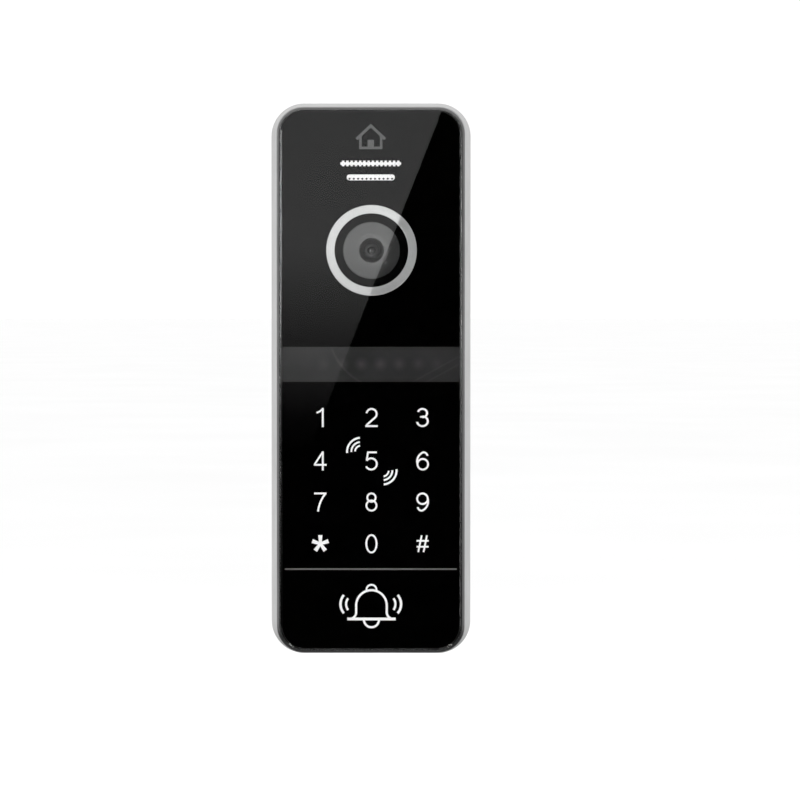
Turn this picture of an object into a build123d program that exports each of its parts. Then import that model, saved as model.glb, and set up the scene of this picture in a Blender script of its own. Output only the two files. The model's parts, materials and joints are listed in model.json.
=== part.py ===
from build123d import *
import os
from math import cos, radians, sin

# Door intercom panel: a slim silver housing with a black glass front, hung on a
# folded steel wall plate. Millimetres. The origin lies on the wall face of the
# plate, +X is right and +Z up as seen from the front, and the front faces -Y.
# "Depth" is the distance in front of the wall, so y = -depth.

# ---- driving dimensions ------------------------------------------------------
HOUSING_W = 60.7
HOUSING_H = 167.8
HOUSING_R = 10.0
RIM_BACK = 1.0
RIM_FRONT = 20.2
WALL = 2.0
FLARE_DEG = 6.3
GLASS_W = 53.9
GLASS_H = 161.3
GLASS_R = 7.1
GLASS_CHAMFER = 0.4
GLASS_BACK = 22.0
GLASS_FRONT = 24.0
MASK_W = 53.0
MASK_H = 160.4
MASK_R = 6.7
FRAME_W = 56.2
FRAME_H = 163.0
FRAME_R = 8.1
FRAME_ROUND = 1.0
SEAT_W = 53.4
SEAT_H = 160.2
SEAT_R = 6.8
LEDGE_BACK = 18.0
LEDGE_FRONT = 19.5
LEDGE_OPENING_W = 46.0
LEDGE_OPENING_H = 152.0
WEB_FRONT = 21.0
FRAME_TOP = 23.4
PRINT_BACK = 21.75
PRINT_FRONT = 21.95
BAND_FRONT = 21.7
COVER_BACK = 7.0
COVER_FRONT = 9.0
BOARD_BACK = 14.0
BOARD_FRONT = 15.6
PLATE_T = 1.2
GAP = 0.1

CAMERA_X = 0.2
CAMERA_Z = 38.85
RING_OD = 27.1
RING_ID = 22.0
LENS_HOLE_R = 3.75
SPEAKER_Z = 63.5
UPPER_SLOT = (18.2, 1.75, 64.7)
LOWER_SLOT = (14.4, 1.8, 60.55)
MESH_PITCH = 1.268
MESH_ROWS = (65.35, 64.05, 60.2)
MESH_HOLE_R = 0.32
MESH_FRONT = 23.5
IR_LOW = -0.45
IR_HIGH = 10.0
IR_LED_Z = 4.9
IR_LED_PITCH = 5.7
IR_LED_COUNT = 8

KEY_PITCH_X = 15.3
KEY_ROWS = (-11.1, -24.1, -36.4, -48.9)
KEY_SCALE = 0.93
STROKE = 0.62
THIN_STROKE = 0.58
DIVIDER_Z = -56.5
LEGEND_X = 0.2

WALL_SLOT_X = 16.0
WALL_SLOT_Z = 50.0
COVER_POST = (24.3, 72.0)
BOARD_W = 53.0
BOARD_LOW = -68.0
BOARD_HIGH = 24.0
SERVICE_Z = 13.0
TAMPER_X = 14.0
TRIMMER_X = -14.0
SETUP_X = 0.0
TERMINAL_WAYS = 6
TERMINAL_PITCH = 5.0
TERMINAL_LOW = -14.0
TERMINAL_HIGH = -6.0
WINDOW_LOW = -36.0
WINDOW_HIGH = -2.5
RECESS_LOW = -34.0
RECESS_HIGH = -4.6
RECESS_HALF_W = 17.0
SCREW_DEPTH = 4.4
RIB_DEPTH = 2.7
RIB_R = 0.7
HINGE_Z = 80.0
TAB_TOP = -79.0
MIC_X = -15.0
MIC_DEPTH = 13.0
MIC_LOW = -78.6
RIBBON_X = -3.5

# ---- helpers -----------------------------------------------------------------


def wall_plane(depth):
    """Sketch plane parallel to the wall; its x runs right and its y runs up."""
    return Plane.XZ.offset(depth)


def slab(sketch, back, front):
    """Solid of a wall-parallel sketch between two depths."""
    return extrude(wall_plane(back) * sketch, amount=front - back)


def block(x, z, width, height, back, front):
    return slab(Pos(x, z) * Rectangle(width, height), back, front)


def rounded_block(x, z, width, height, radius, back, front):
    return slab(Pos(x, z) * RectangleRounded(width, height, radius), back, front)


def disc(x, z, radius, back, front):
    return slab(Pos(x, z) * Circle(radius), back, front)


def tube(x, z, outer, inner, back, front):
    return slab(Pos(x, z) * (Circle(outer) - Circle(inner)), back, front)


def upright(x, depth, radius, low, high):
    """Round bar along Z at a given depth."""
    return Pos(x, -depth, (low + high) / 2) * Cylinder(radius, high - low)


def turned(points, x, z):
    """Body turned about an axis square to the wall, from (radius, depth) points."""
    outline = make_face(Polyline(*points, close=True))
    profile = Plane(origin=(x, 0, z), x_dir=(1, 0, 0), z_dir=(0, 0, 1)) * mirror(outline, about=Plane.XZ)
    return revolve(profile, axis=Axis((x, 0, z), (0, 1, 0)))


def slotted_screw(x, z, head_r, head_back, head_front, shank_r, tip):
    """Screw driven from the wall side, with a cross slot in its head."""
    body = disc(x, z, head_r, head_back, head_front) + disc(x, z, shank_r, head_front, tip)
    cross = Rectangle(head_r * 1.3, 0.5) + Rectangle(0.5, head_r * 1.3)
    return body - slab(Pos(x, z) * cross, head_back, head_back + 0.6)


def save(name, *solids):
    """Write one named piece, or a group of identical pieces, to its STEP file."""
    shapes = []
    for item in solids:
        shapes.extend(item.solids())
    model = shapes[0] if len(shapes) == 1 else Compound(children=shapes)
    model.label = name
    export_step(model, f"parts/{name}.step")
    print(name, len(shapes), round(sum(shape.volume for shape in shapes), 2))


# ---- printed legends ---------------------------------------------------------


def stroke(edges, width):
    """Line of constant width along joined edges, with filled corners."""
    shape = trace(edges, line_width=width)
    for edge in edges[1:]:
        corner = edge @ 0
        shape += Pos(corner.X, corner.Y) * Circle(width / 2)
    return shape


def arc(cx, cy, radius, start, size):
    return CenterArc((cx, cy), radius, start, size)


def ring(cx, cy, radius, width):
    return Pos(cx, cy) * (Circle(radius + width / 2) - Circle(radius - width / 2))


def digit_one():
    stem = Pos(0.8, 0) * Rectangle(STROKE, 6.15)
    flag = stroke([Line((0.8, 2.78), (-0.1, 1.98)), Line((-0.1, 1.98), (-1.2, 1.48))], THIN_STROKE)
    return stem + flag


def digit_two():
    head = arc(0.05, 1.14, 1.62, 172, -210)
    tail = Line(head @ 1, (-1.62, -2.5))
    foot = Pos(0, -2.765) * Rectangle(4.0, STROKE)
    return stroke([head, tail], STROKE) + foot


def digit_three():
    """Two bowls that meet at a short waist, a little wider than round."""
    upper = arc(-0.05, 1.42, 1.34, 165, -255)
    lower = arc(-0.05, -1.2, 1.56, 90, -262)
    waist = Pos(-0.3, 0.22) * Rectangle(0.9, THIN_STROKE)
    return scale(stroke([upper], STROKE) + stroke([lower], STROKE) + waist, by=(1.1, 1, 1))


def digit_four():
    stem = Pos(0.8, 0) * Rectangle(STROKE, 6.15)
    side = stroke([Line((0.72, 2.78), (-1.75, -1.0)), Line((-1.75, -1.0), (-1.4, -1.25))], THIN_STROKE)
    bar = Pos(0, -1.25) * Rectangle(4.1, THIN_STROKE)
    return stem + side + bar


def digit_five():
    top = Line((1.72, 2.765), (-1.12, 2.765))
    side = Line((-1.12, 2.765), (-1.55, 0.08))
    bowl = arc(-0.08, -0.96, 1.8, 145, -300)
    return stroke([top, side], STROKE) + stroke([bowl], STROKE)


def digit_six():
    bowl = ring(0.05, -1.06, 1.7, STROKE)
    back = ThreePointArc((-1.65, -1.0), (-1.25, 1.6), (0.2, 2.77))
    tip = ThreePointArc((0.2, 2.77), (1.1, 2.48), (1.55, 1.65))
    return bowl + stroke([back, tip], STROKE)


def digit_seven():
    top = Pos(0, 2.765) * Rectangle(3.95, STROKE)
    leg = ThreePointArc((1.68, 2.7), (0.1, 0.1), (-0.75, -3.07))
    return top + stroke([leg], STROKE)


def digit_eight():
    return ring(0, 1.43, 1.33, STROKE) + ring(0, -1.14, 1.62, STROKE)


def digit_nine():
    return Rot(0, 0, 180) * digit_six()


def digit_zero():
    return Ellipse(1.96, 3.1) - Ellipse(1.34, 2.5)


def star():
    """Five flared arms from one centre."""
    arms = Circle(0.5)
    for index in range(5):
        arm = make_face(Polyline((-0.42, 0), (-0.68, 2.75), (0.68, 2.75), (0.42, 0), close=True))
        arms += Rot(0, 0, 72 * index) * arm
    return arms


def hash_sign():
    """Two slanted uprights crossed by two level bars."""
    lean = 0.55
    sign = Pos(0, 0.95) * Rectangle(3.9, THIN_STROKE) + Pos(0, -0.95) * Rectangle(3.9, THIN_STROKE)
    for x in (-0.85, 0.85):
        sign += trace(Line((x - lean, -2.7), (x + lean, 2.7)), line_width=THIN_STROKE)
    return sign


def bell():
    """Bell outline with a hanging loop, a flared foot, a clapper and sound waves."""
    side_x = 4.58
    dome_z = -67.4
    wall_low = -69.4
    line_w = 0.66
    dome = arc(0, dome_z, side_x, 0, 180)
    outline = stroke([dome], line_w)
    for side in (-1, 1):
        wall = Line((side * side_x, dome_z), (side * side_x, wall_low))
        foot = ThreePointArc((side * side_x, wall_low), (side * 4.95, -70.6), (side * 5.9, -71.3))
        outline += stroke([wall, foot], line_w) + Pos(side * side_x, dome_z) * Circle(line_w / 2)
    outline += stroke([arc(0, -62.7, 1.5, -20, 220)], 0.56)
    outline += Pos(0, -71.45) * Rectangle(14.5, 0.86)
    outline += stroke([arc(0, -71.68, 2.25, 180, 180)], line_w)
    waves = []
    for side in (0, 180):
        toward = -1 if side else 1
        for base, radius, half, width in ((4.92, 4.15, 41, 0.74), (4.48, 2.9, 37, 0.66)):
            wave = arc(toward * base - LEGEND_X, -67.0, radius, side - half, 2 * half)
            waves.append(stroke([wave], width))
    return [Pos(LEGEND_X, 0) * shape for shape in [outline] + waves]


def tag_waves():
    """Two sets of three arcs, one each side of the middle key, mirrored through its centre."""
    shapes = []
    for radius, width, start, size in ((4.19, 0.6, 95, 90), (2.92, 0.55, 97, 84), (1.81, 0.52, 100, 77)):
        left = stroke([arc(-2.91, -21.35, radius, start, size)], width)
        shapes.append(left)
        shapes.append(Pos(0.62, -48.3) * Rot(0, 0, 180) * left)
    return shapes


def house_mark():
    """Plain house outline with a door."""
    walls = [Line((-3.1, 0.2), (-3.1, -3.2)), Line((-3.1, -3.2), (3.1, -3.2)), Line((3.1, -3.2), (3.1, 0.2))]
    roof = [Line((-4.3, -0.6), (0, 3.4)), Line((0, 3.4), (4.3, -0.6))]
    door = Pos(0, -2.1) * Rectangle(1.9, 2.6)
    return Pos(0, 72.6) * (stroke(walls, 0.75) + stroke(roof, 0.85) + door)


def key_faces():
    """The twelve key legends, placed on the key grid."""
    rows = (
        (digit_one(), digit_two(), digit_three()),
        (digit_four(), digit_five(), digit_six()),
        (digit_seven(), digit_eight(), digit_nine()),
        (star(), digit_zero(), hash_sign()),
    )
    placed = []
    for z, row in zip(KEY_ROWS, rows):
        for column, face in enumerate(row):
            placed.append(Pos((column - 1) * KEY_PITCH_X + LEGEND_X, z) * scale(face, by=KEY_SCALE))
    return placed


# ---- wall side ---------------------------------------------------------------


def wall_plate():
    """Folded 1.2 mm steel plate: slots, cable window, top hooks, bottom tab."""
    plate = rounded_block(0, 0, 50, 2 * -TAB_TOP + 2 * PLATE_T, 4, 0, PLATE_T)
    for x in (-WALL_SLOT_X, WALL_SLOT_X):
        for z in (-WALL_SLOT_Z, WALL_SLOT_Z):
            plate -= slab(Pos(x, z) * SlotOverall(8, 4.2), 0, PLATE_T)
    plate -= rounded_block(0, (WINDOW_LOW + WINDOW_HIGH) / 2, 34, WINDOW_HIGH - WINDOW_LOW, 3, 0, PLATE_T)
    plate -= disc(TAMPER_X, SERVICE_Z, 3.5, 0, PLATE_T)
    for x in (-14, 14):
        plate -= block(x, 80, 12, 4, 0, PLATE_T)
        plate += block(x, 78.6, 8, PLATE_T, 0, 5.2)
        plate += block(x, 79.3, 8, 2.6, 5.2 - PLATE_T, 5.2)
    plate -= block(0, 80, 14, 4, 0, PLATE_T)
    plate += block(0, TAB_TOP - PLATE_T / 2, 14, PLATE_T, 0, 6.8)
    throat = Pos(0, -SCREW_DEPTH) * Circle(1.7) + Pos(0, -SCREW_DEPTH - 2) * Rectangle(3.4, 4)
    plate -= Pos(0, 0, TAB_TOP - 2) * extrude(throat, amount=3)
    return plate


def wall_seal():
    """Foam strip between the housing's back rim and the wall."""
    outer = RectangleRounded(HOUSING_W - 0.6, HOUSING_H - 0.6, HOUSING_R - 0.3)
    inner = RectangleRounded(HOUSING_W - 2 * WALL, HOUSING_H - 2 * WALL, HOUSING_R - WALL)
    return slab(outer - inner, 0, RIM_BACK)


# ---- housing and covers ------------------------------------------------------


def flared(width, height, radius, back, front):
    return extrude(
        wall_plane(back) * RectangleRounded(width, height, radius),
        amount=front - back,
        taper=FLARE_DEG,
    )


def housing():
    """Silver shell, narrowing towards the front, with a ledge that carries the front frame."""
    shell = flared(HOUSING_W, HOUSING_H, HOUSING_R, RIM_BACK, RIM_FRONT)
    shell = fillet(shell.edges().group_by(Axis.Y)[0], 0.3)
    shell -= flared(HOUSING_W - 2 * WALL, HOUSING_H - 2 * WALL, HOUSING_R - WALL, RIM_BACK, LEDGE_BACK)
    shell -= rounded_block(0, 0, LEDGE_OPENING_W, LEDGE_OPENING_H, 5, LEDGE_BACK, LEDGE_FRONT)
    shell -= rounded_block(0, 0, SEAT_W + GAP, SEAT_H + GAP, SEAT_R, LEDGE_FRONT, RIM_FRONT)
    for x in (-COVER_POST[0], COVER_POST[0]):
        for z in (-COVER_POST[1], COVER_POST[1]):
            shell += tube(x, z, 2.6, 0.85, COVER_FRONT, LEDGE_BACK)
    for x, z in board_screw_places():
        shell += tube(x, z, 2.0, 0.7, BOARD_FRONT, LEDGE_BACK)
    for x, z in frame_screw_places():
        shell -= disc(x, z, 1.1, LEDGE_BACK, LEDGE_FRONT)
    for x in (-14, 14):
        shell += hanging_rib(x)
    shell += block(0, -81, 9, 1.2, 1.4, 6.8)
    shell -= upright(0, SCREW_DEPTH, 1.6, -84, -80)
    shell -= upright(0, SCREW_DEPTH, 2.7, -84, -81.6)
    shell -= upright(MIC_X, MIC_DEPTH, 0.75, -84, -80)
    return shell


def hanging_rib(x):
    """Rib under the top wall whose round lower edge lies in a hook of the wall plate and turns there."""
    width = 7.4
    root = 81.7
    rib = block(x, (HINGE_Z + root) / 2, width, root - HINGE_Z, RIB_DEPTH - RIB_R, RIB_DEPTH + RIB_R)
    edge = Pos(x, -RIB_DEPTH, HINGE_Z) * Rot(0, 90, 0) * Cylinder(RIB_R, width)
    return rib + edge


def board_screw_places():
    return [(x, z) for x in (-24.6, 24.6) for z in (-62, 19)]


def frame_screw_places():
    return [(x, z) for x in (-24.4, 24.4) for z in (-40, 48)]


def front_frame():
    """Dark carrier: a rounded rim that covers the housing's edge, and a web behind the glass."""
    frame = rounded_block(0, 0, FRAME_W, FRAME_H, FRAME_R, RIM_FRONT, FRAME_TOP)
    frame = fillet(frame.edges().group_by(Axis.Y)[0], FRAME_ROUND)
    frame += rounded_block(0, 0, SEAT_W, SEAT_H, SEAT_R, LEDGE_FRONT, RIM_FRONT)
    frame -= rounded_block(0, 0, GLASS_W + 2 * GAP, GLASS_H + 2 * GAP, GLASS_R + GAP, WEB_FRONT, FRAME_TOP)
    frame -= rounded_block(0, -38.5, 40.4, 75.4, 1.2, 20.0, WEB_FRONT)
    frame -= rounded_block(0, -38.5, 36, 70, 2, LEDGE_FRONT, 20.0)
    frame -= rounded_block(0, IR_LED_Z, 43.4, 5, 1, LEDGE_FRONT, WEB_FRONT)
    frame -= disc(CAMERA_X, CAMERA_Z, 11.5, LEDGE_FRONT, WEB_FRONT)
    frame -= slab(Pos(0, 62.5) * SlotOverall(26, 12), LEDGE_FRONT, WEB_FRONT)
    for x in (-10, 10):
        for z in (-10, 10):
            frame += tube(CAMERA_X + x, CAMERA_Z + z, 2.0, 0.7, 10.8, LEDGE_FRONT)
    for x, z in frame_screw_places():
        frame -= disc(x, z, 0.85, LEDGE_FRONT, 20.8)
    return frame


def rear_cover():
    """Black back plate with a boxed terminal recess and three service holes."""
    cover = rounded_block(0, 0, 54.4, 160.8, 7.2, COVER_BACK, COVER_FRONT)
    recess_z = (RECESS_LOW + RECESS_HIGH) / 2
    recess_h = RECESS_HIGH - RECESS_LOW
    floor = BOARD_BACK - 1.0
    cover += rounded_block(0, recess_z, 2 * RECESS_HALF_W + 2.4, recess_h + 2.4, 2.2, COVER_FRONT, floor)
    cover -= rounded_block(0, recess_z, 2 * RECESS_HALF_W, recess_h, 1, COVER_BACK, floor - 1)
    cover -= block(0, (TERMINAL_LOW + TERMINAL_HIGH) / 2, 30.6, 8.6, floor - 1, floor)
    for x in (-COVER_POST[0], COVER_POST[0]):
        for z in (-COVER_POST[1], COVER_POST[1]):
            cover -= disc(x, z, 1.2, COVER_BACK, COVER_FRONT)
            cover -= disc(x, z, 2.3, COVER_BACK, COVER_BACK + 1.2)
    cover -= disc(TAMPER_X, SERVICE_Z, 1.7, COVER_BACK, COVER_FRONT)
    cover -= disc(SETUP_X, SERVICE_Z, 1.9, COVER_BACK, COVER_FRONT)
    cover -= disc(TRIMMER_X, SERVICE_Z, 2.2, COVER_BACK, COVER_FRONT)
    for z in (28, 33, 38, 43, 48, 60, 66, -46, -52, -58):
        cover += rounded_block(0, z, 36, 1.2, 0.5, COVER_BACK - 0.4, COVER_BACK)
    return cover


def cover_screws():
    places = [(x, z) for x in (-COVER_POST[0], COVER_POST[0]) for z in (-COVER_POST[1], COVER_POST[1])]
    return [slotted_screw(x, z, 2.1, COVER_BACK + 0.05, COVER_BACK + 1.15, 0.8, 14.5) for x, z in places]


def frame_screws():
    return [slotted_screw(x, z, 1.8, 17.0, LEDGE_BACK, 0.8, 20.7) for x, z in frame_screw_places()]


def security_screw():
    """Captive M3 screw up through the bottom wall, with a six-point socket."""
    screw = upright(0, SCREW_DEPTH, 2.5, -83.0, -81.65) + upright(0, SCREW_DEPTH, 1.5, -81.65, -76.4)
    socket = Circle(0.75)
    for index in range(6):
        angle = radians(60 * index)
        socket += Pos(0.85 * cos(angle), 0.85 * sin(angle)) * Circle(0.3)
    return screw - Pos(0, -SCREW_DEPTH, -83.0) * extrude(socket, amount=0.9)


def clamp_nut():
    """Square nut that the security screw draws down on the plate's tab."""
    nut = Pos(0, -SCREW_DEPTH, TAB_TOP + 1.0) * Box(5, 5, 1.8)
    return nut - upright(0, SCREW_DEPTH, 1.5, TAB_TOP, TAB_TOP + 2)


# ---- glass stack -------------------------------------------------------------


def speaker_slots(back, front):
    cut = None
    for length, height, z in (UPPER_SLOT, LOWER_SLOT):
        part = slab(Pos(0, z) * SlotOverall(length, height), back, front)
        cut = part if cut is None else cut + part
    return cut


def front_glass():
    glass = rounded_block(0, 0, GLASS_W, GLASS_H, GLASS_R, GLASS_BACK, GLASS_FRONT)
    glass = chamfer(glass.edges().group_by(Axis.Y)[0], GLASS_CHAMFER)
    return glass - speaker_slots(GLASS_BACK, GLASS_FRONT)


def mask_print(legend_faces):
    """Black print behind the glass, open where legends, camera and lamps show."""
    mask = rounded_block(0, 0, MASK_W, MASK_H, MASK_R, PRINT_BACK, PRINT_FRONT)
    mask -= disc(CAMERA_X, CAMERA_Z, RING_OD / 2 + 0.1, PRINT_BACK, PRINT_FRONT)
    mask -= block(0, (IR_LOW + IR_HIGH) / 2, GLASS_W, IR_HIGH - IR_LOW, PRINT_BACK, PRINT_FRONT)
    mask -= speaker_slots(PRINT_BACK, PRINT_FRONT)
    for face in legend_faces:
        mask -= slab(face, PRINT_BACK, PRINT_FRONT)
    return mask


def printed(faces):
    return [slab(face, PRINT_BACK, PRINT_FRONT) for face in faces]


def ir_window():
    return block(0, (IR_LOW + IR_HIGH) / 2, MASK_W, IR_HIGH - IR_LOW, PRINT_BACK, PRINT_FRONT)


def adhesive_frame():
    outer = RectangleRounded(GLASS_W - 0.6, GLASS_H - 0.6, GLASS_R - 0.3)
    inner = RectangleRounded(GLASS_W - 6.4, GLASS_H - 6.4, 3.5)
    return slab(outer - inner, WEB_FRONT, BAND_FRONT)


def speaker_mesh():
    """Perforated silver grille: a strip with two raised bars that stand in the slots."""
    mesh = rounded_block(0, 62.5, 22, 8.4, 1, 21.3, BAND_FRONT)
    for length, height, z in (UPPER_SLOT, LOWER_SLOT):
        mesh += slab(Pos(0, z) * SlotOverall(length - GAP, height - GAP), BAND_FRONT, MESH_FRONT)
    holes = None
    for z in MESH_ROWS:
        for index in range(-7, 8):
            hole = Pos(index * MESH_PITCH, z) * Circle(MESH_HOLE_R)
            holes = hole if holes is None else holes + hole
    return mesh - slab(holes, 21.3, MESH_FRONT)


# ---- camera ------------------------------------------------------------------


def camera_ring():
    ring_body = tube(CAMERA_X, CAMERA_Z, RING_OD / 2, RING_ID / 2, 21.25, 21.9)
    return fillet(ring_body.edges().group_by(Axis.Y)[0], 0.15)


def camera_shroud():
    """Black funnel from the silver ring down to the lens bezel."""
    points = ((11.4, 18.6), (11.4, 21.2), (11.0, 21.2), (8.65, 20.1), (8.65, 18.9), (6.0, 18.9), (6.0, 18.6))
    return turned(points, CAMERA_X, CAMERA_Z)


def lens_bezel():
    """Grey disc with a flat face and a stepped countersink down to the lens hole."""
    steps = ((LENS_HOLE_R, 19.5), (4.15, 19.75), (4.15, 19.9), (4.55, 20.15), (4.55, 20.3), (5.0, 20.6))
    points = ((LENS_HOLE_R, 18.95), (8.55, 18.95), (8.55, 20.45), (8.4, 20.6)) + steps[::-1]
    return turned(points, CAMERA_X, CAMERA_Z)


def lens_barrel():
    points = ((2.6, 13.2), (4.0, 13.2), (4.0, 17.2), (4.8, 17.2), (4.8, 18.3), (3.4, 18.3), (2.6, 17.3))
    return turned(points, CAMERA_X, CAMERA_Z)


def lens_glass():
    """Domed front element."""
    ball = Pos(CAMERA_X, -(18.2 - 4.6), CAMERA_Z) * Sphere(4.6)
    return ball & disc(CAMERA_X, CAMERA_Z, 2.55, 16.6, 19.0)


def lens_holder():
    holder = rounded_block(CAMERA_X, CAMERA_Z, 14, 14, 1.5, 10.8, 14.6)
    holder += disc(CAMERA_X, CAMERA_Z, 5.4, 14.6, 17.1)
    return holder - disc(CAMERA_X, CAMERA_Z, 4.04, 12.2, 17.1) - block(CAMERA_X, CAMERA_Z, 9, 9, 10.8, 12.2)


def camera_board():
    board = rounded_block(CAMERA_X, CAMERA_Z, 26, 26, 1, 9.6, 10.8)
    for x in (-10, 10):
        for z in (-10, 10):
            board -= disc(CAMERA_X + x, CAMERA_Z + z, 1.1, 9.6, 10.8)
    return board


def camera_screws():
    places = [(CAMERA_X + x, CAMERA_Z + z) for x in (-10, 10) for z in (-10, 10)]
    return [slotted_screw(x, z, 1.7, 9.15, 9.6, 0.65, 15) for x, z in places]


# ---- sound -------------------------------------------------------------------


def speaker_frame():
    points = ((6.7, 16.6), (9.5, 16.6), (12.0, 18.4), (12.0, 19.3), (11.2, 19.3), (9.0, 17.2), (6.7, 17.2))
    return turned(points, 0, SPEAKER_Z)


def speaker_magnet():
    magnet = disc(0, SPEAKER_Z, 6.6, 13.6, 17.2)
    return fillet(magnet.edges().group_by(Axis.Y)[-1], 0.4)


def speaker_cone():
    """Thin paper cone with a raised cap."""
    back = ((0, 18.0), (3.0, 17.7), (3.2, 17.5), (10.6, 18.9), (11.1, 19.3))
    front = ((10.6, 19.3), (3.2, 17.9), (0, 18.4))
    return turned(back + front, 0, SPEAKER_Z)


def speaker_gasket():
    return slab(Pos(0, 62.5) * (SlotOverall(25.6, 11.6) - SlotOverall(20.6, 7.0)), 19.4, 21.25)


def microphone():
    return upright(MIC_X, MIC_DEPTH, 3.0, MIC_LOW, MIC_LOW + 2.6)


def microphone_boot():
    boot = upright(MIC_X, MIC_DEPTH, 4.0, MIC_LOW - 1.0, MIC_LOW + 2.5)
    boot -= upright(MIC_X, MIC_DEPTH, 3.0, MIC_LOW, MIC_LOW + 2.6)
    return boot - upright(MIC_X, MIC_DEPTH, 0.8, MIC_LOW - 2, MIC_LOW)


# ---- boards and electronics --------------------------------------------------


def ir_board():
    return rounded_block(0, IR_LED_Z, 44, 9, 1, 18.3, 19.3)


def ir_leds():
    """Row of domed infra-red lamps."""
    lamps = []
    for index in range(IR_LED_COUNT):
        x = (index - (IR_LED_COUNT - 1) / 2) * IR_LED_PITCH
        lamp = disc(x, IR_LED_Z, 1.5, 19.3, 21.3)
        lamps.append(fillet(lamp.edges().group_by(Axis.Y)[0], 1.2))
    return lamps


def touch_board():
    return rounded_block(0, -38.5, 40, 75, 1, 20.0, WEB_FRONT)


def light_guide():
    return rounded_block(0, -38.5, 44, 75, 1, 21.05, BAND_FRONT)


def tag_coil():
    """Flat reader coil: four nested loops behind the touch board."""
    loops = []
    for turn in range(4):
        grow = turn * 1.6
        outer = RectangleRounded(26 + grow, 46 + grow, 3 + grow / 2)
        inner = RectangleRounded(25.2 + grow, 45.2 + grow, 2.6 + grow / 2)
        loops.append(slab(Pos(0, -34) * (outer - inner), 19.7, 20.0))
    return loops


def main_board():
    height = BOARD_HIGH - BOARD_LOW
    board = rounded_block(0, (BOARD_HIGH + BOARD_LOW) / 2, BOARD_W, height, 1.5, BOARD_BACK, BOARD_FRONT)
    for x, z in board_screw_places():
        board -= disc(x, z, 1.1, BOARD_BACK, BOARD_FRONT)
    return board


def board_screws():
    places = board_screw_places()
    return [slotted_screw(x, z, 1.8, BOARD_BACK - 0.9, BOARD_BACK, 0.65, 17.8) for x, z in places]


def board_chips():
    """Moulded packages on the front of the main board."""
    chips = []
    for x, z, width, height, rise in (
        (0, -18, 12, 12, 1.4),
        (-14, -40, 9, 6, 1.2),
        (12, -38, 7, 7, 1.0),
        (-13, 4, 6, 5, 1.2),
        (12, 8, 8, 5, 1.5),
    ):
        chips.append(rounded_block(x, z, width, height, 0.3, BOARD_FRONT, BOARD_FRONT + rise))
    return chips


def capacitors():
    """Upright electrolytic cans on the back of the main board."""
    return [disc(x, -46, 2.6, 9.4, BOARD_BACK) for x in (4, 11, 18)]


def relay():
    return rounded_block(-13, -48, 12, 15, 0.5, 9.3, BOARD_BACK)


def board_connectors():
    """Header up to the touch board, and plug-in sockets for the camera and the speaker."""
    header = block(0, -62, 15, 2.5, BOARD_FRONT, 19.95)
    camera = block(RIBBON_X, 20, 9, 4, 11.6, BOARD_BACK)
    speaker = block(16, 20.5, 5, 4, 10.6, BOARD_BACK)
    return [header, camera, speaker]


def lead(points, bend, radius):
    """Insulated wire: straight runs joined by tangent arcs."""
    path = FilletPolyline(*points, radius=bend)
    start = Plane(origin=path @ 0, z_dir=path % 0)
    return sweep(start * Circle(radius), path=path)


def speaker_leads():
    """Two wires from the speaker's back down past the camera board to their socket."""
    wires = []
    for offset in (0, 1.3):
        x = 15.2 + offset
        back_y = -15.4 + offset
        points = ((8.2, back_y, 62), (x, back_y, 62), (x, -12.2, 40), (x, -12.2, 22.5))
        wires.append(lead(points, 2.5, 0.5))
    return wires


def camera_ribbon():
    """Flat ribbon from the camera board's back to its socket on the main board."""
    line = FilletPolyline((0, -9.35, 34), (0, -9.35, 24.9), (0, -12.8, 23.6), (0, -12.8, 22), radius=0.6)
    start = Plane(origin=line @ 0, x_dir=(1, 0, 0), z_dir=line % 0)
    return Pos(RIBBON_X, 0, 0) * sweep(start * Rectangle(8, 0.3), path=line)


def terminal_block():
    """Six-way screw terminal: screws face the wall, wires enter from below."""
    width = TERMINAL_WAYS * TERMINAL_PITCH
    middle = (TERMINAL_LOW + TERMINAL_HIGH) / 2
    body = block(0, middle, width, TERMINAL_HIGH - TERMINAL_LOW, 4.8, BOARD_BACK)
    for x in terminal_places():
        body -= disc(x, middle + 0.8, 1.8, 4.8, 8.0)
        body -= Pos(x, -9.6, TERMINAL_LOW + 2) * Box(3, 2.6, 4)
    return body


def terminal_places():
    return [(index - (TERMINAL_WAYS - 1) / 2) * TERMINAL_PITCH for index in range(TERMINAL_WAYS)]


def terminal_screws():
    middle = (TERMINAL_LOW + TERMINAL_HIGH) / 2
    screws = []
    for x in terminal_places():
        screw = disc(x, middle + 0.8, 1.7, 5.6, 8.0)
        screws.append(screw - block(x, middle + 0.8, 3.4, 0.6, 5.6, 6.3))
    return screws


# ---- service controls --------------------------------------------------------


def tamper_switch():
    body = rounded_block(TAMPER_X, SERVICE_Z, 7, 7, 0.4, 11.4, BOARD_BACK)
    return body - disc(TAMPER_X, SERVICE_Z, 2.4, 11.4, 13.5)


def tamper_plunger():
    """Long pin that the wall holds in; its collar stops against the back cover."""
    pin = disc(TAMPER_X, SERVICE_Z, 1.5, 0, 10.6)
    pin = fillet(pin.edges().group_by(Axis.Y)[-1], 0.5)
    return pin + disc(TAMPER_X, SERVICE_Z, 2.7, 10.6, 11.2) + disc(TAMPER_X, SERVICE_Z, 0.9, 11.2, 13.2)


def tamper_spring():
    """Compression spring round the plunger's tail."""
    coil = Helix(pitch=0.62, height=1.86, radius=1.95)
    start = Plane(origin=coil @ 0, z_dir=coil % 0)
    spring = sweep(start * Circle(0.14), path=coil, is_frenet=True)
    return Pos(TAMPER_X, -11.4, SERVICE_Z) * Rot(90, 0, 0) * spring


def volume_trimmer():
    body = rounded_block(TRIMMER_X, SERVICE_Z, 6.6, 6.6, 0.4, 10.6, BOARD_BACK)
    return body - disc(TRIMMER_X, SERVICE_Z, 1.74, 10.6, 11.8)


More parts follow.
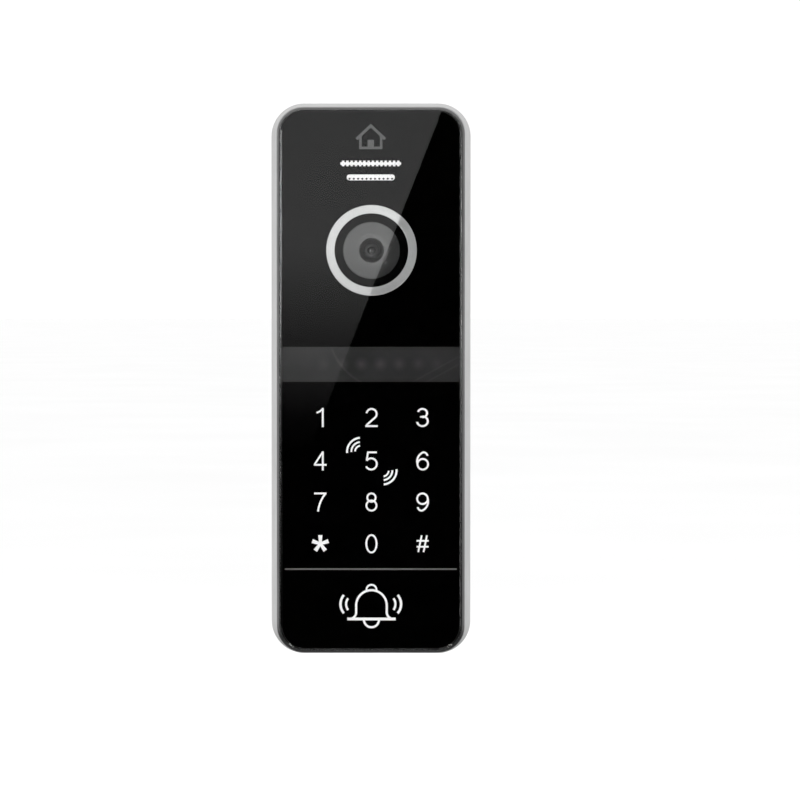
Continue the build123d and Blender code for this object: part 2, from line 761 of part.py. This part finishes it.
def volume_rotor():
    rotor = disc(TRIMMER_X, SERVICE_Z, 1.7, 10.0, 11.7)
    slot = Rectangle(2.6, 0.6) + Rectangle(0.6, 2.6)
    return rotor - slab(Pos(TRIMMER_X, SERVICE_Z) * slot, 10.0, 10.8)


def setup_switch():
    body = rounded_block(SETUP_X, SERVICE_Z, 6, 6, 0.4, 11.0, BOARD_BACK)
    return body - disc(SETUP_X, SERVICE_Z, 1.64, 11.0, 12.5)


def setup_button():
    button = disc(SETUP_X, SERVICE_Z, 1.6, 7.3, 11.9)
    return fillet(button.edges().group_by(Axis.Y)[-1], 0.3)


# ---- write every piece -------------------------------------------------------

os.makedirs("parts", exist_ok=True)

keys = key_faces()
bell_faces = bell()
wave_faces = tag_waves()
mark_face = house_mark()
divider_face = Pos(0, DIVIDER_Z) * Rectangle(51.4, 0.5)

save("wall_plate", wall_plate())
save("wall_seal", wall_seal())
save("housing", housing())
save("front_frame", front_frame())
save("rear_cover", rear_cover())
save("cover_screws", *cover_screws())
save("frame_screws", *frame_screws())
save("security_screw", security_screw())
save("clamp_nut", clamp_nut())
save("front_glass", front_glass())
save("mask_print", mask_print(keys + bell_faces + wave_faces + [mark_face, divider_face]))
save("key_legends", *printed(keys))
save("bell_legend", *printed(bell_faces))
save("tag_legend", *printed(wave_faces))
save("house_mark", *printed([mark_face]))
save("divider_line", *printed([divider_face]))
save("ir_window", ir_window())
save("adhesive_frame", adhesive_frame())
save("speaker_mesh", speaker_mesh())
save("camera_ring", camera_ring())
save("camera_shroud", camera_shroud())
save("lens_bezel", lens_bezel())
save("lens_barrel", lens_barrel())
save("lens_glass", lens_glass())
save("lens_holder", lens_holder())
save("camera_board", camera_board())
save("camera_screws", *camera_screws())
save("speaker_frame", speaker_frame())
save("speaker_magnet", speaker_magnet())
save("speaker_cone", speaker_cone())
save("speaker_gasket", speaker_gasket())
save("microphone", microphone())
save("microphone_boot", microphone_boot())
save("ir_board", ir_board())
save("ir_leds", *ir_leds())
save("touch_board", touch_board())
save("light_guide", light_guide())
save("tag_coil", *tag_coil())
save("main_board", main_board())
save("board_screws", *board_screws())
save("board_chips", *board_chips())
save("capacitors", *capacitors())
save("relay", relay())
save("board_connectors", *board_connectors())
save("speaker_leads", *speaker_leads())
save("camera_ribbon", camera_ribbon())
save("terminal_block", terminal_block())
save("terminal_screws", *terminal_screws())
save("tamper_switch", tamper_switch())
save("tamper_plunger", tamper_plunger())
save("tamper_spring", tamper_spring())
save("volume_trimmer", volume_trimmer())
save("volume_rotor", volume_rotor())
save("setup_switch", setup_switch())
save("setup_button", setup_button())
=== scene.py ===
import json
import math

import bpy
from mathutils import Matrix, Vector


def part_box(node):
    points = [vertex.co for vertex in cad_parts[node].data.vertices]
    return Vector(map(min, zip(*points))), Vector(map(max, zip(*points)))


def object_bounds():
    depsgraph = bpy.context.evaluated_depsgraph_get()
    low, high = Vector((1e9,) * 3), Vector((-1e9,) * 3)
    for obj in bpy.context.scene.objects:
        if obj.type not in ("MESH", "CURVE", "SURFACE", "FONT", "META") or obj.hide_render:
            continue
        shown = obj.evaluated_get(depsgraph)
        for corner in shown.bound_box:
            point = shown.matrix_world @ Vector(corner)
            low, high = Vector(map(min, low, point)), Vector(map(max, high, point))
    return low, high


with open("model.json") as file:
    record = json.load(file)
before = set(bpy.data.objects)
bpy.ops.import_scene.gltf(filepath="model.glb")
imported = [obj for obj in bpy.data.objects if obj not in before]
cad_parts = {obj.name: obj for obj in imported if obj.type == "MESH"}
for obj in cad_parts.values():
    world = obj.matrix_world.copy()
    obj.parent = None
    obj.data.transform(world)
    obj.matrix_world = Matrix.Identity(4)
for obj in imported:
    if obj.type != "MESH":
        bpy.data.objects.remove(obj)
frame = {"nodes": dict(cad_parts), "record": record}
cad_low, cad_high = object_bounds()
NODES = frame["nodes"]

# ---- driving values, in metres unless named otherwise ----------------------------
CAMERA_DISTANCE = 1.0
CAMERA_ELEVATION = math.radians(1.3)
CAMERA_AZIMUTH = math.radians(0.2)
LENS_MM = 150.6
SENSOR_MM = 36.0
SHIFT_X = 0.0365                # as a share of the picture's width
SHIFT_Y = -0.0250
FLOOR_DROP = 0.16
FLOOR_HALF = 60.0
CARD_DISTANCE = 0.85
FLAG_DISTANCE = 0.92
RIM_REACH = 0.5
LED_PITCH = 0.0057
LED_HEIGHT = 0.0049
LENS_RADIUS = 0.0036
LENS_HEIGHT = 0.038
GLINT_OFFSET = 0.1


# ---- node helpers --------------------------------------------------------------

class Shader:
    """A new node material with short calls for the nodes it needs; lengths are in metres."""

    def __init__(self, name):
        self.material = bpy.data.materials.new(name)
        self.material.use_nodes = True
        self.tree = self.material.node_tree
        self.bsdf = self.tree.nodes["Principled BSDF"]

    def node(self, kind, **inputs):
        """One node of the kind, with its input sockets set by name."""
        made = self.tree.nodes.new(kind)
        for key, value in inputs.items():
            made.inputs[key.replace("_", " ")].default_value = value
        return made

    def link(self, source, target):
        self.tree.links.new(source, target)

    def set(self, **inputs):
        """Sets the shader's own sockets by name."""
        for key, value in inputs.items():
            self.bsdf.inputs[key.replace("_", " ")].default_value = value

    def place(self, scale=(1, 1, 1)):
        """Object coordinates, stretched along each axis."""
        coords = self.tree.nodes.new("ShaderNodeTexCoord")
        mapping = self.node("ShaderNodeMapping", Scale=scale)
        self.link(coords.outputs["Object"], mapping.inputs["Vector"])
        return mapping.outputs["Vector"]

    def noise(self, size, detail=3, roughness=0.5, stretch=(1, 1, 1)):
        """Noise whose patches are about 'size' metres across."""
        made = self.node("ShaderNodeTexNoise", Scale=1.0 / size, Detail=detail, Roughness=roughness)
        self.link(self.place(stretch), made.inputs["Vector"])
        return made.outputs["Fac"]

    def ramp(self, source, *stops):
        """Colour ramp from (position, colour) stops."""
        made = self.tree.nodes.new("ShaderNodeValToRGB")
        elements = made.color_ramp.elements
        while len(elements) < len(stops):
            elements.new(0.5)
        for element, (position, colour) in zip(elements, stops):
            element.position = position
            element.color = (*colour, 1)
        self.link(source, made.inputs["Fac"])
        return made.outputs["Color"]

    def remap(self, source, low, high, start=0.3, end=0.7):
        """Source from start..end mapped to low..high, held at both ends."""
        made = self.tree.nodes.new("ShaderNodeMapRange")
        made.inputs["From Min"].default_value = start
        made.inputs["From Max"].default_value = end
        made.inputs["To Min"].default_value = low
        made.inputs["To Max"].default_value = high
        self.link(source, made.inputs["Value"])
        return made.outputs["Result"]

    def math(self, operation, first, second):
        """One Math node; each input is a socket or a number."""
        made = self.tree.nodes.new("ShaderNodeMath")
        made.operation = operation
        for socket, value in zip(made.inputs, (first, second)):
            if isinstance(value, (int, float)):
                socket.default_value = value
            else:
                self.link(value, socket)
        return made.outputs["Value"]

    def length(self, first, second):
        """Length of the two-part vector (first, second)."""
        first = self.math("MULTIPLY", first, first)
        second = self.math("MULTIPLY", second, second)
        return self.math("SQRT", self.math("ADD", first, second), 0)

    def bump(self, height, depth):
        """Surface relief 'depth' metres deep where the height is one."""
        made = self.node("ShaderNodeBump", Strength=1.0, Distance=depth)
        self.link(height, made.inputs["Height"])
        self.link(made.outputs["Normal"], self.bsdf.inputs["Normal"])

    def colour(self, source):
        self.link(source, self.bsdf.inputs["Base Color"])

    def rough(self, source):
        self.link(source, self.bsdf.inputs["Roughness"])

    def node_radius(self, node):
        """Distance from the axis of a round CAD node, in metres."""
        low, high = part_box(node)
        split = self.tree.nodes.new("ShaderNodeSeparateXYZ")
        self.link(self.place(), split.inputs["Vector"])
        across = self.math("SUBTRACT", split.outputs["X"], (low.x + high.x) / 2)
        up = self.math("SUBTRACT", split.outputs["Z"], (low.z + high.z) / 2)
        return self.length(across, up)


def grey(value):
    """A neutral colour."""
    return (value, value, value)


def shade(colour, factor):
    """The colour made lighter or darker."""
    return tuple(min(1.0, channel * factor) for channel in colour)


def moulded(name, colour, roughness, depth=0.00002, **sockets):
    """Moulded plastic: faint colour drift, uneven gloss and a fine pitted grain."""
    s = Shader(name)
    drift = s.noise(0.02, 2)
    s.colour(s.ramp(drift, (0.3, shade(colour, 0.88)), (0.7, shade(colour, 1.12))))
    s.rough(s.remap(s.noise(0.006, 4), roughness * 0.85, roughness * 1.15))
    s.bump(s.noise(0.0006, 3, 0.6), depth)
    s.set(**sockets)
    return s.material


def satin_metal(name, colour, roughness, stretch=(1, 1, 1), metallic=1.0):
    """Satin metal with a fine grain, drawn out along an axis whose stretch is under one."""
    s = Shader(name)
    lines = s.noise(0.0004, 4, 0.65, stretch)
    s.colour(s.ramp(lines, (0.3, shade(colour, 0.9)), (0.7, shade(colour, 1.08))))
    s.rough(s.remap(lines, roughness * 0.8, roughness * 1.25))
    s.bump(lines, 0.000008)
    s.set(Metallic=metallic)
    return s.material


def silver_paint():
    """Satin silver lacquer: metallic flakes under a thin clear coat."""
    s = Shader("silver_paint")
    flakes = s.node("ShaderNodeTexVoronoi", Scale=9000.0)
    s.link(s.place(), flakes.inputs["Vector"])
    s.colour(s.ramp(flakes.outputs["Color"], (0.0, grey(0.29)), (1.0, grey(0.37))))
    s.rough(s.remap(s.noise(0.012, 4), 0.36, 0.44))
    s.bump(s.noise(0.0009, 3), 0.000012)
    s.set(Metallic=0.3, Coat_Weight=0.2, Coat_Roughness=0.22)
    return s.material


def clear_glass():
    """Flat clear cover glass with a faint unevenness of polish."""
    s = Shader("clear_glass")
    s.colour(s.ramp(s.noise(0.05, 2), (0.3, (0.985, 0.995, 0.99)), (0.7, (1, 1, 1))))
    s.set(Transmission_Weight=1.0, Roughness=0.0, IOR=1.34)
    return s.material


def mask_black():
    """Opaque black print behind the glass."""
    s = Shader("mask_black")
    s.colour(s.ramp(s.noise(0.004, 3), (0.3, grey(0.0003)), (0.7, grey(0.0007))))
    s.rough(s.remap(s.noise(0.002, 3), 0.5, 0.6))
    s.set(Specular_IOR_Level=0.0)
    return s.material


def legend(name, value, glow):
    """Printed legend whose ink gives off 'glow', a painted glow as if lit a little from behind."""
    s = Shader(name)
    ink = s.ramp(s.noise(0.0015, 3), (0.3, grey(value * 0.97)), (0.7, grey(value)))
    s.colour(ink)
    # painted glow: the ink's own colour is also given off as light
    s.link(ink, s.bsdf.inputs["Emission Color"])
    s.set(Emission_Strength=glow, Roughness=0.6, Specular_IOR_Level=0.2)
    return s.material


def lamp_distance(s, split):
    """Distance in metres from the nearest lamp of the row behind the band."""
    across = s.math("PINGPONG", split.outputs["X"], LED_PITCH / 2)
    across = s.math("SUBTRACT", LED_PITCH / 2, across)
    up = s.math("SUBTRACT", split.outputs["Z"], LED_HEIGHT)
    return s.length(across, up)


def streak(s, distance, width, strength, mask):
    """A faint lighter line where the distance is nothing, kept to where the mask is one."""
    return s.math("MULTIPLY", s.remap(s.math("ABSOLUTE", distance, 0), strength, 0, 0, width), mask)


def painted_lamp_glow(s, split):
    """Painted glow: a faint soft light with a darker ring round each lamp of the row, painted into the
    film's colour, weaker towards the row's ends.
    """
    painted_glow_radius, middle_x, fade_start, fade_end = 0.005, 0.002, 0.007, 4 * LED_PITCH
    # painted light: each lamp's glow and a darker ring round it, laid in as colour
    painted_glow = s.ramp(
        s.remap(lamp_distance(s, split), 0, 1, 0, painted_glow_radius),
        (0.0, grey(0.26)), (0.25, grey(0.10)), (0.5, grey(-0.08)), (0.8, grey(0.02)), (1.0, grey(0.0)),
    )
    from_middle = s.math("ABSOLUTE", s.math("SUBTRACT", split.outputs["X"], middle_x), 0)
    return s.math("MULTIPLY", painted_glow, s.remap(from_middle, 1, 0.2, fade_start, fade_end))


def bowl_streak(s, x, z):
    """Faint lighter line along the lower left of a circle."""
    centre_x, centre_z, radius, width = 0.006, 0.016, 0.0188, 0.0005
    from_centre = s.length(s.math("SUBTRACT", x, centre_x), s.math("SUBTRACT", z, centre_z))
    on_left = s.remap(x, 1, 0, -0.002, 0.006)
    return streak(s, s.math("SUBTRACT", from_centre, radius), width, 0.14, on_left)


def slant_streak(s, x, z, foot_x):
    """Straight faint lighter line that climbs to the right from foot_x at the height of the origin."""
    slope, width = 0.55, 0.0004
    rise = s.math("MULTIPLY", s.math("SUBTRACT", x, foot_x), slope)
    on_right = s.remap(x, 0, 1, 0.011, 0.014)
    return streak(s, s.math("SUBTRACT", rise, z), width, 0.12, on_right)


def smoked():
    """Smoked infra-red film with the blurred glow of the row of lamps behind it painted into its colour,
    and faint lighter lines.
    """
    s = Shader("smoked_window")
    split = s.tree.nodes.new("ShaderNodeSeparateXYZ")
    s.link(s.place(), split.inputs["Vector"])
    x, z = split.outputs["X"], split.outputs["Z"]
    drift = s.math("MULTIPLY", s.noise(0.014, 1), 0.22)
    # the film's colour carries the painted glow of the lamps behind it
    level = s.math("ADD", s.math("ADD", painted_lamp_glow(s, split), 0.32), drift)
    level = s.math("ADD", level, bowl_streak(s, x, z))
    for foot_x in (0.0134, 0.0176):
        level = s.math("ADD", level, slant_streak(s, x, z, foot_x))
    s.colour(s.ramp(level, (0.2, grey(0.012)), (0.9, grey(0.064))))
    s.set(Specular_IOR_Level=0.75, Roughness=0.02)
    return s.material


def circuit():
    """Green solder mask with copper showing through as faint lines."""
    s = Shader("circuit_green")
    lines = s.node(
        "ShaderNodeTexBrick", Scale=240.0, Mortar_Size=0.06, Mortar_Smooth=0.3,
        Color1=(0.012, 0.11, 0.045, 1), Color2=(0.015, 0.13, 0.055, 1), Mortar=(0.03, 0.2, 0.09, 1),
    )
    s.link(s.place(), lines.inputs["Vector"])
    s.colour(lines.outputs["Color"])
    s.rough(s.remap(s.noise(0.003), 0.3, 0.45))
    return s.material


def foam(name, value):
    """Open-celled foam or pulp: pits round the cells of the given grey value."""
    s = Shader(name)
    cells = s.node("ShaderNodeTexVoronoi", Scale=2600.0)
    s.link(s.place(), cells.inputs["Vector"])
    s.colour(s.ramp(cells.outputs["Distance"], (0.1, grey(value * 1.7)), (0.7, grey(value * 0.6))))
    s.bump(cells.outputs["Distance"], 0.00015)
    s.set(Roughness=0.9)
    return s.material


def lens_coating():
    """Dark coated lens: neutral grey with faint lighter and darker ring bands round the middle, painted
    reflections of the inner lens elements and painted shade at the aperture.
    """
    s = Shader("lens_glass")
    radius = s.node_radius("lens_glass")
    # painted reflections and painted shade of the inner lens elements, as lighter and darker ring bands
    # of grey
    painted_rings = s.ramp(
        s.remap(radius, 0, 1, 0, LENS_RADIUS),
        (0.0, grey(0.012)), (0.20, grey(0.020)), (0.26, grey(0.008)), (0.45, grey(0.016)),
        (0.52, grey(0.034)), (0.58, grey(0.014)), (0.80, grey(0.022)), (1.0, grey(0.03)),
    )
    tint = s.ramp(s.noise(0.004, 2), (0.3, (0.96, 0.97, 1.0)), (0.7, (1.0, 0.96, 1.0)))
    mixed = s.tree.nodes.new("ShaderNodeVectorMath")
    mixed.operation = "MULTIPLY"
    s.link(painted_rings, mixed.inputs[0])
    s.link(tint, mixed.inputs[1])
    s.colour(mixed.outputs["Vector"])
    s.set(Roughness=0.04, Specular_IOR_Level=0.3, Coat_Weight=0.2, Coat_Roughness=0.02)
    return s.material


def spun_metal(name, colour, roughness, metallic, node):
    """Metal turned on a lathe: fine grooves run round the middle of the node."""
    s = Shader(name)
    radius = s.node_radius(node)
    grooves = s.tree.nodes.new("ShaderNodeTexNoise")
    grooves.noise_dimensions = "1D"
    grooves.inputs["Scale"].default_value = 9000
    grooves.inputs["Detail"].default_value = 3
    s.link(radius, grooves.inputs["W"])
    round_share = s.math("MULTIPLY", grooves.outputs["Fac"], 0.6)
    speckle_share = s.math("MULTIPLY", s.noise(0.0012, 4), 0.4)
    lines = s.math("ADD", round_share, speckle_share)
    s.colour(s.ramp(lines, (0.35, shade(colour, 0.94)), (0.65, shade(colour, 1.05))))
    s.rough(s.remap(lines, roughness * 0.7, roughness * 1.3))
    s.bump(lines, 0.00000003)
    s.set(Metallic=metallic)
    return s.material


def build_materials():
    """One finish for each slot of the record."""
    return {
        "silver_paint": silver_paint(),
        "zinc_steel": satin_metal("zinc_steel", grey(0.6), 0.38, (1, 1, 0.05)),
        "foam_black": foam("foam_black", 0.03),
        "frame_dark": moulded("frame_dark", grey(0.14), 0.14, depth=0.000002, Metallic=0.9),
        "cover_black": moulded("cover_black", grey(0.022), 0.5, depth=0.00006),
        "screw_steel": satin_metal("screw_steel", grey(0.55), 0.3),
        "clear_glass": clear_glass(),
        "mask_black": mask_black(),
        "legend_white": legend("legend_white", 0.95, 0.12),
        "legend_grey": legend("legend_grey", 0.13, 0.0),
        "smoked_window": smoked(),
        "mesh_silver": satin_metal("mesh_silver", grey(0.82), 0.3, metallic=0.15),
        "ring_silver": spun_metal("ring_silver", grey(0.79), 0.015, 0.58, "camera_ring"),
        "shroud_black": moulded("shroud_black", grey(0.0008), 0.6, Specular_IOR_Level=0.02),
        "bezel_grey": spun_metal("bezel_grey", grey(0.15), 0.02, 0.8, "lens_bezel"),
        "lens_black": moulded("lens_black", grey(0.01), 0.5),
        "lens_glass": lens_coating(),
        "circuit_green": circuit(),
        "chip_black": moulded("chip_black", grey(0.02), 0.55),
        "guide_white": moulded("guide_white", grey(0.75), 0.5),
        "coil_copper": satin_metal("coil_copper", (0.72, 0.33, 0.18), 0.3),
        "lamp_clear": moulded("lamp_clear", (0.5, 0.42, 0.5), 0.08),
        "can_silver": satin_metal("can_silver", grey(0.6), 0.3, (1, 1, 0.1)),
        "relay_blue": moulded("relay_blue", (0.03, 0.1, 0.35), 0.35),
        "socket_cream": moulded("socket_cream", (0.75, 0.7, 0.58), 0.45),
        "lead_red": moulded("lead_red", (0.45, 0.02, 0.02), 0.4),
        "ribbon_white": moulded("ribbon_white", (0.72, 0.72, 0.68), 0.4),
        "terminal_green": moulded("terminal_green", (0.03, 0.28, 0.1), 0.42),
        "magnet_steel": satin_metal("magnet_steel", grey(0.5), 0.35),
        "cone_paper": foam("cone_paper", 0.04),
        "spring_steel": satin_metal("spring_steel", grey(0.6), 0.25),
        "control_white": moulded("control_white", grey(0.75), 0.4),
        "control_blue": moulded("control_blue", (0.03, 0.14, 0.45), 0.4),
    }


def dress_nodes(materials):
    """Gives each CAD node the finish of its material slot."""
    for entry in frame["record"]["subparts"]:
        node = NODES[entry["node"]]
        node.data.materials.clear()
        node.data.materials.append(materials[entry["material_slot"]])


# ---- stage, light and camera ---------------------------------------------------

def plane_object(name, corners, material):
    """One flat face of the stage."""
    mesh = bpy.data.meshes.new(name)
    mesh.from_pydata(corners, [], [tuple(range(len(corners)))])
    made = bpy.data.objects.new(name, mesh)
    made.data.materials.append(material)
    bpy.context.scene.collection.objects.link(made)
    return made


def only_in_reflections(card):
    """Leaves the card in glossy and transmitted rays only."""
    card.visible_camera = False
    card.visible_diffuse = False
    card.visible_shadow = False
    card.visible_volume_scatter = False


def floor():
    """Pale floor below the panel."""
    s = Shader("floor_white")
    s.colour(s.ramp(s.noise(0.4, 2), (0.3, grey(0.93)), (0.7, grey(0.95))))
    s.set(Roughness=0.8, Specular_IOR_Level=0.1)
    z, half = cad_low.z - FLOOR_DROP, FLOOR_HALF
    corners = [(-half, -half, z), (half, -half, z), (half, half, z), (-half, half, z)]
    ground = plane_object("floor", corners, s.material)
    ground.visible_glossy = False


def emitter(name, strength):
    """A material that only emits; returns it with its node tree and its Emission node."""
    material = bpy.data.materials.new(name)
    material.use_nodes = True
    tree = material.node_tree
    tree.nodes.clear()
    light = tree.nodes.new("ShaderNodeEmission")
    light.inputs["Strength"].default_value = strength
    output = tree.nodes.new("ShaderNodeOutputMaterial")
    tree.links.new(light.outputs["Emission"], output.inputs["Surface"])
    return material, tree, light


def height_ramp(tree, source, low_z, high_z, stops):
    """Grey that changes with the height of a vector output, as (position, brightness) stops."""
    split = tree.nodes.new("ShaderNodeSeparateXYZ")
    height = tree.nodes.new("ShaderNodeMapRange")
    ramp = tree.nodes.new("ShaderNodeValToRGB")
    tree.links.new(source, split.inputs["Vector"])
    tree.links.new(split.outputs["Z"], height.inputs["Value"])
    height.inputs["From Min"].default_value = low_z
    height.inputs["From Max"].default_value = high_z
    elements = ramp.color_ramp.elements
    while len(elements) < len(stops):
        elements.new(0.5)
    for element, (position, value) in zip(elements, stops):
        element.position = position
        element.color = (*grey(value), 1)
    tree.links.new(height.outputs["Result"], ramp.inputs["Fac"])
    return ramp.outputs["Color"]


def fading_emitter(name, low_z, high_z, stops, strength):
    """An emitter whose brightness changes with height."""
    material, tree, light = emitter(name, strength)
    coords = tree.nodes.new("ShaderNodeTexCoord")
    fade = height_ramp(tree, coords.outputs["Object"], low_z, high_z, stops)
    tree.links.new(fade, light.inputs["Color"])
    return material


def mirrored(point, eye, glass_y, card_y):
    """Where a sight line that bounces off the glass at 'point' meets the plane y = card_y."""
    reach = (glass_y - card_y) / (glass_y - eye.y)
    return Vector((point[0] + (point[0] - eye.x) * reach, card_y, point[1] + (point[1] - eye.z) * reach))


def rim_card(name, side, stops, strength):
    """Narrow strip light beside the panel that draws a fine line down the glass's bevelled edge."""
    x, low, high = side * RIM_REACH, -0.12, 0.16
    front, back = cad_low.y + 0.002, cad_low.y + 0.028
    corners = [(x, front, low), (x, back, low), (x, back, high), (x, front, high)]
    light = fading_emitter(name + "_light", low, high, stops, strength)
    only_in_reflections(plane_object(name, corners, light))


def dark_flag():
    """A black card just in front of the camera, seen only in the glass, which it keeps dark."""
    y, half = cad_low.y - FLAG_DISTANCE, 0.6
    corners = [(-half, y, -half), (half, y, -half), (half, y, half), (-half, y, half)]
    black, _, _ = emitter("flag_black", 0)
    only_in_reflections(plane_object("flag", corners, black))


def gloss_card(eye):
    """A pale slanted card whose reflection is the gloss across the upper glass."""
    glass_y = cad_low.y
    card_y = glass_y - CARD_DISTANCE
    left, top, bottom = -0.045, 0.095, -0.020
    edge_x, edge_z, slope = 0.0210, 0.080, 0.39
    edge_top, edge_bottom = (edge_x - slope * (edge_z - z) for z in (top, bottom))
    outline = [(left, top), (edge_top, top), (edge_bottom, bottom), (left, bottom)]
    corners = [mirrored(point, eye, glass_y, card_y) for point in outline]
    stops = ((0.0, 0.0), (0.08, 0.03), (0.28, 0.33), (0.38, 0.6), (0.52, 1.0))
    light = fading_emitter("card_pale", corners[2].z, corners[0].z, stops, 0.88)
    only_in_reflections(plane_object("gloss_card", corners, light))


def area_light(name, place, target, size, power, glossy=False):
    """A soft lamp: a glossy one is seen only in reflections, any other only brightens matt surfaces."""
    data = bpy.data.lights.new(name, "AREA")
    data.shape = "RECTANGLE"
    data.size, data.size_y = size
    data.energy = power
    lamp = bpy.data.objects.new(name, data)
    lamp.visible_glossy = glossy
    lamp.visible_transmission = glossy
    lamp.visible_diffuse = not glossy
    lamp.location = place
    lamp.rotation_mode = "QUATERNION"
    lamp.rotation_quaternion = (Vector(target) - Vector(place)).to_track_quat("-Z", "Y")
    bpy.context.scene.collection.objects.link(lamp)


def studio():
    """A bright even sky above a darker floor side, three soft lamps and two lens highlights."""
    world = bpy.data.worlds.new("studio")
    bpy.context.scene.world = world
    world.use_nodes = True
    tree = world.node_tree
    back = tree.nodes["Background"]
    coords = tree.nodes.new("ShaderNodeTexCoord")
    sky = height_ramp(tree, coords.outputs["Generated"], -1, 1, ((0.30, 0.16), (0.46, 1.0)))
    tree.links.new(sky, back.inputs["Color"])
    back.inputs["Strength"].default_value = 1.05
    area_light("key", (-0.9, -0.9, 1.3), (0, 0, 0), (0.7, 0.7), 5)
    area_light("top", (0.2, 0.3, 1.5), (0, 0, 0), (0.9, 0.9), 1.5)
    area_light("back", (0.3, 1.2, 0.9), (0, 0, 0), (0.8, 0.8), 4)
    for x in (-GLINT_OFFSET, GLINT_OFFSET):
        area_light("lens_glint", (x, -0.8, 0.04), (0, 0, LENS_HEIGHT), (0.05, 0.11), 0.6, glossy=True)


def camera():
    """The photograph's viewpoint: almost level, a little to the right of the panel's middle."""
    data = bpy.data.cameras.new("camera")
    data.lens = LENS_MM
    data.sensor_width = SENSOR_MM
    data.shift_x = SHIFT_X
    data.shift_y = SHIFT_Y
    data.clip_start = 0.01
    data.clip_end = 100
    made = bpy.data.objects.new("camera", data)
    target = Vector((0, cad_low.y, 0))
    level = math.cos(CAMERA_ELEVATION)
    back = Vector((
        level * math.sin(CAMERA_AZIMUTH),
        -level * math.cos(CAMERA_AZIMUTH),
        math.sin(CAMERA_ELEVATION),
    ))
    made.location = target + back * CAMERA_DISTANCE
    made.rotation_mode = "QUATERNION"
    made.rotation_quaternion = (-back).to_track_quat("-Z", "Y")
    bpy.context.scene.collection.objects.link(made)
    bpy.context.scene.camera = made
    return made


bpy.context.scene.view_settings.view_transform = "Standard"
eye = camera().location.copy()
dress_nodes(build_materials())
NODES["front_glass"].visible_shadow = False
floor()
studio()
dark_flag()
gloss_card(eye)
left_stops = ((0.0, 0.0), (0.33, 0.06), (0.45, 0.16), (0.53, 0.45), (0.61, 0.9), (0.68, 1.0))
rim_card("rim_card_left", -1, left_stops, 8.0)
rim_card("rim_card_right", 1, ((0.0, 0.7), (1.0, 1.0)), 2.4)
